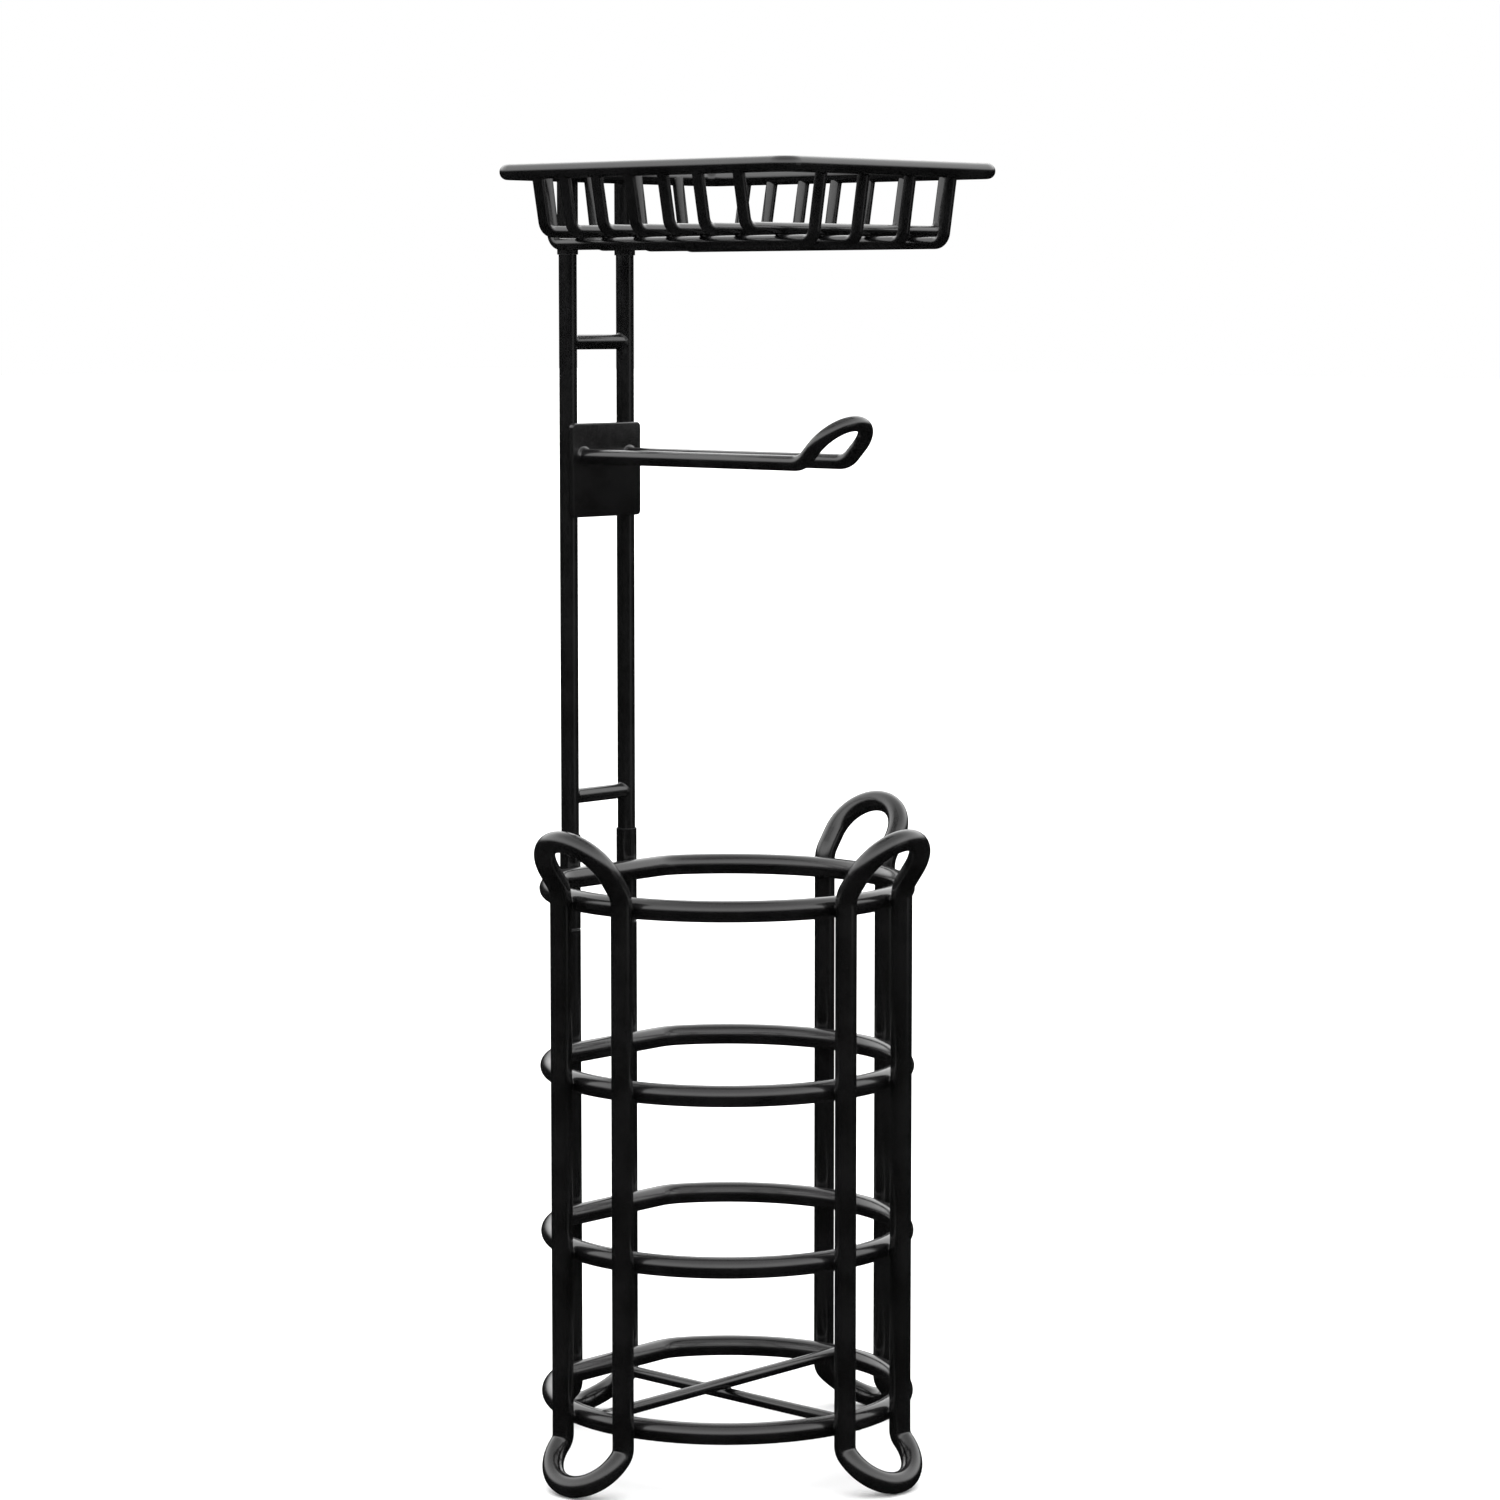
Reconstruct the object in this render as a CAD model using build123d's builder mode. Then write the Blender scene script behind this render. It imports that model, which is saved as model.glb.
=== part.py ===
from build123d import *
import os
from math import atan2, cos, degrees, radians, sin, sqrt

# Free-standing toilet paper holder in bent and welded steel tube and rod.
# A round cage keeps spare rolls, a two-tube mast plugs into the two back posts of the cage and
# carries the roll arm, and a wire shelf drops over the top of the mast.
# Millimetres. +Z is up, the arm points to -Y, and the origin is on the floor at the cage's axis.

os.makedirs("parts", exist_ok=True)

# ---- Stock -------------------------------------------------------------------------------------
CAGE_TUBE = 11.1  # outside diameter of rings, hairpins, back posts and shelf sleeves
CAGE_BORE = 9.7  # bore of the same tube, a running fit for the mast tubes
MAST_TUBE = 9.6  # outside diameter of the mast tubes
MAST_BORE = 7.8
ROD = 8.0  # roll arm, crossbars and shelf rim
WIRE = 6.2  # shelf wires and cage floor bars
FIT_GAP = 0.05  # gap under a tube end that rests on its stop

# ---- Cage --------------------------------------------------------------------------------------
RING_RADIUS = 93.3  # centreline
RING_HEIGHTS = {"ring_bottom": 34.0, "ring_lower": 120.5, "ring_upper": 209.0, "ring_top": 303.5}
RING_CORNER = 25.0  # bend radius where each ring turns into its flat back
LEG_SPACING = 43.4  # between the two legs of one hairpin, and between the two mast tubes

LOOP_TILT = 53.8  # top loop, degrees above level
LOOP_HEIGHT = 310.2  # where the legs turn outwards into the top loop
LOOP_BEND = 13.5
LOOP_REACH = 13.4  # from that turn to the centre of the loop's half circle
FOOT_TILT = -43.0  # foot loop, degrees below level
FOOT_BEND = 7.0
FOOT_REACH = 3.3

POST_TOP = 325.0
SOCKET_DEPTH = 50.0  # how far a mast tube stands in its back post
BEAD = 0.9  # radius of the bead rolled into a post to stop the mast tube

# ---- Mast and roll arm -------------------------------------------------------------------------
MAST_BACK = 94.8  # from the cage's axis to the mast tubes
MAST_TOP = 668.0
CROSSBAR_HEIGHTS = {"lower_crossbar": 345.6, "upper_crossbar": 588.5}
PLATE_WIDTH = 52.0
PLATE_THICKNESS = 3.0
PLATE_BOTTOM = 495.6
PLATE_TOP = 545.6
PLATE_SEAT = 0.3  # depth of the tube seats pressed into the plate
PLATE_CORNER = 2.5
ARM_HEIGHT = 528.0
ARM_WIDTH = 34.7  # between the arm's two legs
ARM_FRONT = 68.0  # from the cage's axis to where the arm turns up
ARM_TILT = 45.0
ARM_BEND = 12.0
ARM_REACH = 11.3

# ---- Shelf -------------------------------------------------------------------------------------
RIM_HEIGHT = 676.3
RIM_FRONT = 112.8  # from the cage's axis to the front bar of the rim
RIM_HALF_WIDTH = 79.4
RIM_CORNER = 7.0
END_INSET = 3.0  # the long wires meet the rim this far inside its centreline
END_LEAN = 5.7  # how far the front and back walls lean in over the full depth of the shelf
SIDE_LEAN = 7.1  # the same for the side walls
LONG_WIRE_HEIGHT = 639.5
LONG_WIRE_PLACES = [-49.8, -17.9, 17.9, 49.8]
CROSS_WIRE_PLACES = [-80.8, -53.4, -29.4, -6.1, 16.9, 39.8, 59.0]
WIRE_BEND = 6.0
SLEEVE_BOTTOM = 634.7
SLEEVE_TOP = 679.0
CAP_THICKNESS = 1.5
CAP_DOME = 1.2

# ---- Worked out --------------------------------------------------------------------------------
FRONT, RIGHT, BACK, LEFT = -90.0, 0.0, 90.0, 180.0
HALF_SPACING = LEG_SPACING / 2
# The legs stand outside the rings and touch them.
LEG_OUT = sqrt((RING_RADIUS + CAGE_TUBE) ** 2 - HALF_SPACING**2)
# The mast stands closer to the axis than the legs do, so the rings are flat across the posts.
RING_FLAT = MAST_BACK - CAGE_TUBE
# The sleeves touch the back of the rim.
RIM_BACK = MAST_BACK - CAGE_TUBE / 2 - ROD / 2
CROSS_WIRE_HEIGHT = LONG_WIRE_HEIGHT + WIRE
# The side walls lean in less by the time they reach the cross wires, which lie on the long wires.
SHELF_DEPTH = RIM_HEIGHT - LONG_WIRE_HEIGHT
CROSS_WIRE_FOOT = RIM_HALF_WIDTH - SIDE_LEAN * (RIM_HEIGHT - CROSS_WIRE_HEIGHT) / SHELF_DEPTH
WALL_FRONT = RIM_FRONT - END_INSET
WALL_BACK = RIM_BACK - END_INSET
SOCKET_FLOOR = POST_TOP - SOCKET_DEPTH
# Height of the turn into a foot, so that the foot's loop just rests on the floor.
FOOT_TURN = CAGE_TUBE / 2 + (FOOT_REACH + HALF_SPACING) * sin(radians(-FOOT_TILT))


def place(station, outward, across, height):
    """Point from its distance out from the axis and its offset across a station of the cage."""
    out = Vector(cos(radians(station)), sin(radians(station)), 0)
    side = Vector(-out.Y, out.X, 0)
    return out * outward + side * across + Vector(0, 0, height)


def loop_points(station, outward, height, tilt, reach):
    """Start, far point and end of a half-circle loop that tilts out from two legs."""
    level, rise = cos(radians(tilt)), sin(radians(tilt))
    tip = reach + HALF_SPACING
    start = place(station, outward + reach * level, -HALF_SPACING, height + reach * rise)
    far = place(station, outward + tip * level, 0, height + tip * rise)
    end = place(station, outward + reach * level, HALF_SPACING, height + reach * rise)
    return start, far, end


def sweep_round(path, diameter, bore=0.0):
    """Sweep a round bar or tube along a path, inside the builder that is open."""
    with BuildSketch(Plane(origin=path @ 0, z_dir=path % 0)) as section:
        Circle(diameter / 2)
        if bore:
            Circle(bore / 2, mode=Mode.SUBTRACT)
    sweep(sections=section.sketch, path=path)


def finish(builder, name):
    """Label a finished piece and write it."""
    builder.part.label = name
    export_step(builder.part, f"parts/{name}.step")


# ---- Cage rings --------------------------------------------------------------------------------
def make_ring(height):
    """Ring of the cage: a circle with a flat back, bent from one tube."""
    turn_out = RING_RADIUS - RING_CORNER
    turn_back = RING_FLAT - RING_CORNER
    flat_half = sqrt(turn_out**2 - turn_back**2)
    turn = degrees(atan2(turn_back, flat_half))
    with BuildPart() as ring:
        with BuildLine(Plane.XY.offset(height)) as path:
            CenterArc((0, 0), RING_RADIUS, 180 - turn, 180 + 2 * turn)
            CenterArc((flat_half, turn_back), RING_CORNER, turn, 90 - turn)
            Line((flat_half, RING_FLAT), (-flat_half, RING_FLAT))
            CenterArc((-flat_half, turn_back), RING_CORNER, 90, 90 - turn)
        sweep_round(path.wire(), CAGE_TUBE, CAGE_BORE)
    return ring


rings = {}
for ring_name, ring_height in RING_HEIGHTS.items():
    rings[ring_name] = make_ring(ring_height)
    finish(rings[ring_name], ring_name)


# ---- Hairpins ----------------------------------------------------------------------------------
def make_hairpin(station):
    """Closed hairpin: two upright legs, a loop leaning out at the top, a foot loop below."""
    foot = loop_points(station, LEG_OUT, FOOT_TURN, FOOT_TILT, FOOT_REACH)
    loop = loop_points(station, LEG_OUT, LOOP_HEIGHT, LOOP_TILT, LOOP_REACH)
    bends = (LOOP_BEND, FOOT_BEND)
    with BuildPart() as hairpin:
        with BuildLine() as path:
            FilletPolyline(
                loop[0],
                place(station, LEG_OUT, -HALF_SPACING, LOOP_HEIGHT),
                place(station, LEG_OUT, -HALF_SPACING, FOOT_TURN),
                foot[0],
                radius=bends,
            )
            ThreePointArc(*foot)
            FilletPolyline(
                loop[2],
                place(station, LEG_OUT, HALF_SPACING, LOOP_HEIGHT),
                place(station, LEG_OUT, HALF_SPACING, FOOT_TURN),
                foot[2],
                radius=bends,
            )
            ThreePointArc(*loop)
        sweep_round(path.wire(), CAGE_TUBE, CAGE_BORE)
    return hairpin


for hairpin_name, hairpin_station in {
    "front_hairpin": FRONT,
    "left_hairpin": LEFT,
    "right_hairpin": RIGHT,
}.items():
    finish(make_hairpin(hairpin_station), hairpin_name)

# ---- Back posts: one tube with a foot loop and two open tops that take the mast -----------------
post_foot = loop_points(BACK, MAST_BACK, FOOT_TURN, FOOT_TILT, FOOT_REACH)
with BuildPart() as back_posts:
    with BuildLine() as post_path:
        FilletPolyline(
            place(BACK, MAST_BACK, -HALF_SPACING, POST_TOP),
            place(BACK, MAST_BACK, -HALF_SPACING, FOOT_TURN),
            post_foot[0],
            radius=FOOT_BEND,
        )
        ThreePointArc(*post_foot)
        FilletPolyline(
            post_foot[2],
            place(BACK, MAST_BACK, HALF_SPACING, FOOT_TURN),
            place(BACK, MAST_BACK, HALF_SPACING, POST_TOP),
            radius=FOOT_BEND,
        )
    sweep_round(post_path.wire(), CAGE_TUBE, CAGE_BORE)
    # A bead rolled into each post under its socket, with its groove outside.
    for side in (-HALF_SPACING, HALF_SPACING):
        with Locations(place(BACK, MAST_BACK, side, SOCKET_FLOOR - BEAD - FIT_GAP)):
            Torus(CAGE_BORE / 2, BEAD)
            Torus(CAGE_TUBE / 2, BEAD / 2, mode=Mode.SUBTRACT)
finish(back_posts, "back_posts")


# ---- Cage floor: two crossed bars coped to the inside of the bottom ring ------------------------
FLOOR_LEVEL = RING_HEIGHTS["ring_bottom"]
BAR_OFFSET = WIRE / 2

with BuildPart() as floor_bar_across:
    with BuildLine() as across_path:
        Line((-RING_RADIUS, 0, FLOOR_LEVEL + BAR_OFFSET), (RING_RADIUS, 0, FLOOR_LEVEL + BAR_OFFSET))
    sweep_round(across_path.wire(), WIRE)
    with Locations((0, 0, FLOOR_LEVEL)):
        Torus(RING_RADIUS, CAGE_TUBE / 2, mode=Mode.SUBTRACT)
finish(floor_bar_across, "floor_bar_across")

with BuildPart() as floor_bar_along:
    with BuildLine() as along_path:
        Line((0, -RING_RADIUS, FLOOR_LEVEL - BAR_OFFSET), (0, RING_FLAT, FLOOR_LEVEL - BAR_OFFSET))
    sweep_round(along_path.wire(), WIRE)
    with Locations((0, 0, FLOOR_LEVEL)):
        Torus(RING_RADIUS, CAGE_TUBE / 2, mode=Mode.SUBTRACT)
    with Locations((0, RING_FLAT, FLOOR_LEVEL)):
        Cylinder(CAGE_TUBE / 2, CAGE_TUBE * 2, rotation=(0, 90, 0), mode=Mode.SUBTRACT)
finish(floor_bar_along, "floor_bar_along")

# ---- Mast --------------------------------------------------------------------------------------
MAST_LENGTH = MAST_TOP - SOCKET_FLOOR
MAST_MIDDLE = (MAST_TOP + SOCKET_FLOOR) / 2


def make_mast_tube(side):
    """Straight mast tube, open at both ends, with its outer edges broken."""
    with BuildPart() as tube:
        with BuildSketch(Plane.XY.offset(SOCKET_FLOOR)):
            with Locations((side, MAST_BACK)):
                Circle(MAST_TUBE / 2)
                Circle(MAST_BORE / 2, mode=Mode.SUBTRACT)
        extrude(amount=MAST_LENGTH)
        rims = tube.edges().filter_by(GeomType.CIRCLE)
        chamfer(rims.filter_by(lambda rim: rim.radius > MAST_BORE / 2 + FIT_GAP), length=0.4)
    return tube


for tube_name, tube_side in {"mast_tube_left": -HALF_SPACING, "mast_tube_right": HALF_SPACING}.items():
    finish(make_mast_tube(tube_side), tube_name)


def cut_mast_tubes():
    """Cope the open piece to the outside of both mast tubes."""
    for side in (-HALF_SPACING, HALF_SPACING):
        with Locations((side, MAST_BACK, MAST_MIDDLE)):
            Cylinder(MAST_TUBE / 2, MAST_LENGTH, mode=Mode.SUBTRACT)


for bar_name, bar_height in CROSSBAR_HEIGHTS.items():
    with BuildPart() as crossbar:
        with BuildLine() as bar_path:
            Line((-HALF_SPACING, MAST_BACK, bar_height), (HALF_SPACING, MAST_BACK, bar_height))
        sweep_round(bar_path.wire(), ROD)
        cut_mast_tubes()
    finish(crossbar, bar_name)

# The plate lies across the front of the tubes, and the arm is welded to its front face.
PLATE_FACE = MAST_BACK - MAST_TUBE / 2 + PLATE_SEAT - PLATE_THICKNESS
with BuildPart() as arm_plate:
    with BuildSketch(Plane.XZ.offset(-PLATE_FACE)):
        with Locations((0, (PLATE_BOTTOM + PLATE_TOP) / 2)):
            RectangleRounded(PLATE_WIDTH, PLATE_TOP - PLATE_BOTTOM, PLATE_CORNER)
    extrude(amount=-PLATE_THICKNESS)
    cut_mast_tubes()
finish(arm_plate, "arm_plate")

ARM_HALF = ARM_WIDTH / 2
ARM_RISE = Vector(0, -cos(radians(ARM_TILT)), sin(radians(ARM_TILT)))
arm_roots = [Vector(side * ARM_HALF, PLATE_FACE, ARM_HEIGHT) for side in (-1, 1)]
arm_turns = [Vector(side * ARM_HALF, -ARM_FRONT, ARM_HEIGHT) for side in (-1, 1)]
arm_ends = [turn + ARM_RISE * ARM_REACH for turn in arm_turns]
arm_tip = Vector(0, -ARM_FRONT, ARM_HEIGHT) + ARM_RISE * (ARM_REACH + ARM_HALF)
with BuildPart() as roll_arm:
    with BuildLine() as arm_path:
        FilletPolyline(arm_roots[0], arm_turns[0], arm_ends[0], radius=ARM_BEND)
        ThreePointArc(arm_ends[0], arm_tip, arm_ends[1])
        FilletPolyline(arm_ends[1], arm_turns[1], arm_roots[1], radius=ARM_BEND)
    sweep_round(arm_path.wire(), ROD)
finish(roll_arm, "roll_arm")


# ---- Shelf -------------------------------------------------------------------------------------
with BuildPart() as shelf_rim:
    with BuildLine() as rim_path:
        FilletPolyline(
            (-RIM_HALF_WIDTH, -RIM_FRONT, RIM_HEIGHT),
            (RIM_HALF_WIDTH, -RIM_FRONT, RIM_HEIGHT),
            (RIM_HALF_WIDTH, RIM_BACK, RIM_HEIGHT),
            (-RIM_HALF_WIDTH, RIM_BACK, RIM_HEIGHT),
            radius=RIM_CORNER,
            close=True,
        )
    sweep_round(rim_path.wire(), ROD)
finish(shelf_rim, "shelf_rim")


def make_shelf_wire(start, low_start, low_end, end):
    """Wire that hangs from the rim on both sides, its ends coped to the rim."""
    with BuildPart() as wire:
        with BuildLine() as path:
            FilletPolyline(start, low_start, low_end, end, radius=WIRE_BEND)
        sweep_round(path.wire(), WIRE)
        add(shelf_rim.part, mode=Mode.SUBTRACT)
    return wire


# The long wires make the front and back walls.
for number, across in enumerate(LONG_WIRE_PLACES, start=1):
    long_wire = make_shelf_wire(
        (across, -WALL_FRONT, RIM_HEIGHT),
        (across, -WALL_FRONT + END_LEAN, LONG_WIRE_HEIGHT),
        (across, WALL_BACK - END_LEAN, LONG_WIRE_HEIGHT),
        (across, WALL_BACK, RIM_HEIGHT),
    )
    finish(long_wire, f"long_wire_{number}")

# The cross wires make the side walls.
for number, along in enumerate(CROSS_WIRE_PLACES, start=1):
    cross_wire = make_shelf_wire(
        (-RIM_HALF_WIDTH, along, RIM_HEIGHT),
        (-CROSS_WIRE_FOOT, along, CROSS_WIRE_HEIGHT),
        (CROSS_WIRE_FOOT, along, CROSS_WIRE_HEIGHT),
        (RIM_HALF_WIDTH, along, RIM_HEIGHT),
    )
    finish(cross_wire, f"cross_wire_{number}")


def make_sleeve(side):
    """Open-ended sleeve, welded to the back of the rim, that drops over a mast tube."""
    with BuildPart() as sleeve:
        with BuildSketch(Plane.XY.offset(SLEEVE_BOTTOM)):
            with Locations((side, MAST_BACK)):
                Circle(CAGE_TUBE / 2)
                Circle(CAGE_BORE / 2, mode=Mode.SUBTRACT)
        extrude(amount=SLEEVE_TOP - SLEEVE_BOTTOM)
    return sleeve


def make_sleeve_cap(side):
    """Domed plug pressed into a sleeve's top; the mast tube stops against its stem."""
    stem_bottom = MAST_TOP + FIT_GAP
    with BuildPart() as cap:
        with BuildSketch(Plane.XY.offset(stem_bottom)):
            with Locations((side, MAST_BACK)):
                Circle(CAGE_BORE / 2)
        extrude(amount=SLEEVE_TOP - stem_bottom)
        with BuildSketch(Plane.XY.offset(SLEEVE_TOP)):
            with Locations((side, MAST_BACK)):
                Circle(CAGE_TUBE / 2)
        extrude(amount=CAP_THICKNESS)
        fillet(cap.faces().sort_by(Axis.Z)[-1].edges(), radius=CAP_DOME)
    return cap


for side_name, sleeve_side in {"left": -HALF_SPACING, "right": HALF_SPACING}.items():
    finish(make_sleeve(sleeve_side), f"sleeve_{side_name}")
    finish(make_sleeve_cap(sleeve_side), f"sleeve_cap_{side_name}")
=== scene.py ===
"""Free-standing toilet paper holder in black stove enamel: the finished look.

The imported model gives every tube, rod and wire its place. This script dresses each of them in enamel,
adds the welds that join them, and builds the arm plate and the sleeve caps anew with their fine edges.
Lengths are in metres. +Z is up and the roll arm points to -Y.
"""

import logging
import math
from dataclasses import dataclass
from enum import Enum
from itertools import product
from typing import Any, Iterable

import bmesh
import bpy
import numpy as np
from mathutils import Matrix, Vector


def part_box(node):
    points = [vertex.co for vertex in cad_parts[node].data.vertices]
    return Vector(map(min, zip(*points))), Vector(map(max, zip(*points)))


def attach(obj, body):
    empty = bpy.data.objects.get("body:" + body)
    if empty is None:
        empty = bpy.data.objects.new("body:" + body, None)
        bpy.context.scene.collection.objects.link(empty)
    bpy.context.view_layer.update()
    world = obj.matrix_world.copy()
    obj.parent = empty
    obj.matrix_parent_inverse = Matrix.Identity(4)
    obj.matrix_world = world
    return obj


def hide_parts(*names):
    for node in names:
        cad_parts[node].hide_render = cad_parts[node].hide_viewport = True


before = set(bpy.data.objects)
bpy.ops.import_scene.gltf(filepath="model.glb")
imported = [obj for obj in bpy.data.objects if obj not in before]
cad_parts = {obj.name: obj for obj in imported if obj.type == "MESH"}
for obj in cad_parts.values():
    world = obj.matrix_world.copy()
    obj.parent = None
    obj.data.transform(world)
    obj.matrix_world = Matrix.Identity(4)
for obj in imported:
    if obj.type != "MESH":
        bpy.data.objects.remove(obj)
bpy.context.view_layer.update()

LOG = logging.getLogger("paper_holder")
MM = 0.001

EDGE_SAMPLES = 4
EDGE_AGREEMENT = (0.80, 0.98)

Colour = tuple[float, float, float]
Point = tuple[float, float, float]
Socket = bpy.types.NodeSocket


class Slot(Enum):
    """The record's material slots."""

    CAGE = "cage_enamel"
    MAST = "mast_enamel"
    SHELF = "shelf_enamel"
    CAP = "cap_plastic"


class Side(Enum):
    """The two sides of the mast."""

    LEFT = "left"
    RIGHT = "right"


# ---- Finishes ----------------------------------------------------------------------------------


@dataclass(frozen=True)
class Cloud:
    """Cloudy noise: its blotches to the metre, its fineness, and the part of its range that counts."""

    per_metre: float
    detail: float
    low: float = 0.0
    high: float = 1.0


class Nodes:
    """A tree of shader nodes under construction."""

    def __init__(self, tree: bpy.types.NodeTree) -> None:
        """Start with an empty tree.

        Args:
            tree: the tree of a material or of the studio's surroundings.
        """
        self.tree = tree
        tree.nodes.clear()

    def add(self, kind: str, inputs: dict[Any, Any] | None = None, **settings: Any) -> bpy.types.Node:
        """Add one node.

        Args:
            kind: the node's type, without the ShaderNode prefix.
            inputs: a value or another node's socket for each input, by name or number.
            settings: the node's own properties.

        Returns:
            The new node.
        """
        node = self.tree.nodes.new("ShaderNode" + kind)
        for key, value in settings.items():
            setattr(node, key, value)
        for key, value in (inputs or {}).items():
            if isinstance(value, Socket):
                self.tree.links.new(value, node.inputs[key])
            else:
                node.inputs[key].default_value = value
        return node

    def span(self, value: Socket, start: tuple[float, float], end: tuple[float, float]) -> Socket:
        """Map one range to another, smoothly and without overshoot.

        Args:
            value: the number to map.
            start: the range that it comes from.
            end: what that range becomes.

        Returns:
            The mapped number.
        """
        inputs = {0: value, 1: start[0], 2: start[1], 3: end[0], 4: end[1]}
        return self.add("MapRange", inputs, interpolation_type="SMOOTHSTEP").outputs[0]

    def math(
        self, operation: str, first: Socket | float, second: Socket | float, clamp: bool = True
    ) -> Socket:
        """Put two numbers together.

        Args:
            operation: ADD, SUBTRACT or MULTIPLY.
            first: the first number.
            second: the second number.
            clamp: whether to keep the result between 0 and 1.

        Returns:
            The result.
        """
        return self.add("Math", {0: first, 1: second}, operation=operation, use_clamp=clamp).outputs[0]


class Shader(Nodes):
    """A material under construction."""

    def __init__(self, name: str) -> None:
        """Start an empty material.

        Args:
            name: the material's name.
        """
        self.material = bpy.data.materials.new(name)
        self.material.use_nodes = True
        super().__init__(self.material.node_tree)

    def place(self) -> Socket:
        """The point on the piece, in metres."""
        return self.add("TexCoord").outputs["Object"]

    def stretch(self, where: Socket, scale: Point, shift: Point) -> Socket:
        """A point scaled along each axis and shifted."""
        node = self.add("Mapping", {"Vector": where, "Scale": scale, "Location": shift})
        return node.outputs["Vector"]

    def noise(self, where: Socket, cloud: Cloud) -> Socket:
        """Cloudy noise, over its whole range."""
        inputs = {"Vector": where, "Scale": cloud.per_metre, "Detail": cloud.detail}
        return self.add("TexNoise", inputs).outputs["Fac"]

    def clouds(self, where: Socket, cloud: Cloud, most: float = 1.0) -> Socket:
        """Cloudy noise, with the part of its range that counts spread from 0 to most."""
        return self.span(self.noise(where, cloud), (cloud.low, cloud.high), (0.0, most))

    def blend(self, share: Socket, first: Socket | Colour, second: Socket | Colour) -> Socket:
        """A colour between two, by share."""
        node = self.add("Mix", {"Factor": share}, data_type="RGBA")
        for socket, value in ((node.inputs[6], first), (node.inputs[7], second)):
            if isinstance(value, Socket):
                self.tree.links.new(value, socket)
            else:
                socket.default_value = (*value, 1.0)
        return node.outputs[2]

    def edges(self, width: float) -> Socket:
        """How near a point is to a sharp edge, from 0 away from it to 1 on it."""
        rounded = self.add("Bevel", {"Radius": width}, samples=EDGE_SAMPLES).outputs["Normal"]
        flat = self.add("NewGeometry").outputs["Normal"]
        agree = self.add("VectorMath", {0: rounded, 1: flat}, operation="DOT_PRODUCT").outputs["Value"]
        return self.span(agree, EDGE_AGREEMENT, (1.0, 0.0))

    def relief(self, height: Socket, depth: float, under: Socket | None = None) -> Socket:
        """Raise the surface.

        Args:
            height: how high each point is, from 0 to 1.
            depth: the real height that 1 stands for.
            under: another relief that this one lies on.

        Returns:
            The raised surface's normal.
        """
        inputs: dict[str, Any] = {"Height": height, "Distance": depth, "Strength": 1.0}
        if under is not None:
            inputs["Normal"] = under
        return self.add("Bump", inputs).outputs["Normal"]

    def surface(self, inputs: dict[str, Any]) -> bpy.types.Material:
        """Close the material with its surface.

        Args:
            inputs: the surface's inputs.

        Returns:
            The finished material.
        """
        shell = self.add("BsdfPrincipled", inputs)
        self.add("OutputMaterial", {0: shell.outputs[0]})
        return self.material


@dataclass(frozen=True)
class Rub:
    """A band of height in which sliding has dulled the enamel, with upright streaks."""

    low: float
    high: float
    amount: float
    soft_share: float = 0.25


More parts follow.
